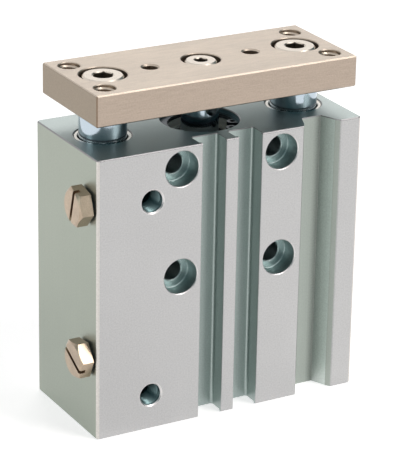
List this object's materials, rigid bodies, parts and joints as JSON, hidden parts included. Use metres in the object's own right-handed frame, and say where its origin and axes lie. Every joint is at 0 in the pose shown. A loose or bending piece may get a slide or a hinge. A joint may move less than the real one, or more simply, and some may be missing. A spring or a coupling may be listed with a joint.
{
  "type": "guided pneumatic cylinder",
  "caption": "Guided double-acting air cylinder: an extruded block with counterbored mounting holes and sensor slots lifts a drilled tool plate on twin guide rods.",
  "frame": {"origin": "centre of the block's bottom face, on the cylinder's axis", "axes": "+Z along the stroke towards the tool plate, +X along the row of rods, -Y the side with the ports and slots"},
  "size_m": [0.098, 0.042, 0.1114],
  "materials": {
    "body_aluminium": "clear anodised, fine matt",
    "plate_nickel": "nickel plated, satin",
    "rod_chrome": "ground and hard chromed",
    "screw_nickel": "nickel plated",
    "plug_nickel": "nickel plated brass",
    "cover_aluminium": "machined and anodised",
    "piston_aluminium": "machined",
    "ring_steel": "spring steel, phosphated",
    "retainer_steel": "stainless steel",
    "bush_bronze": "bearing bronze",
    "seal_rubber": "nitrile rubber",
    "bumper_urethane": "urethane",
    "wiper_felt": "oiled felt",
    "washer_fibre": "sealing washer",
    "magnet_ferrite": "bonded magnet",
    "ball_steel": "hardened ball"
  },
  "bodies": {
    "block": {"cylinder_body": "body_aluminium", "rod_cover": "cover_aluminium", "rod_cover_bush": "bush_bronze", "rod_seal": "seal_rubber", "rod_cover_o_ring": "seal_rubber", "rod_cover_circlip": "ring_steel", "rod_end_bumper": "bumper_urethane", "head_cover": "cover_aluminium", "head_cover_o_ring": "seal_rubber", "head_cover_circlip": "ring_steel", "head_end_bumper": "bumper_urethane", "gallery_ball": "ball_steel", "guide_bush_upper_left": "bush_bronze", "guide_bush_upper_right": "bush_bronze", "guide_bush_lower_left": "bush_bronze", "guide_bush_lower_right": "bush_bronze", "guide_wiper_left": "wiper_felt", "guide_wiper_right": "wiper_felt", "wiper_retainer_left": "retainer_steel", "wiper_retainer_right": "retainer_steel", "port_plug_upper": "plug_nickel", "port_plug_lower": "plug_nickel", "plug_washer_upper": "washer_fibre", "plug_washer_lower": "washer_fibre"},
    "carriage": {"tool_plate": "plate_nickel", "guide_rod_left": "rod_chrome", "guide_rod_right": "rod_chrome", "guide_rod_screw_left": "screw_nickel", "guide_rod_screw_right": "screw_nickel", "piston_rod": "rod_chrome", "piston_rod_screw": "screw_nickel", "piston": "piston_aluminium", "piston_seal": "seal_rubber", "piston_magnet": "magnet_ferrite"}
  },
  "joints": [
    {"name": "stroke", "type": "slide", "parent": "block", "child": "carriage", "axis": [0, 0, 1], "range_m": [0, 0.05]}
  ]
}
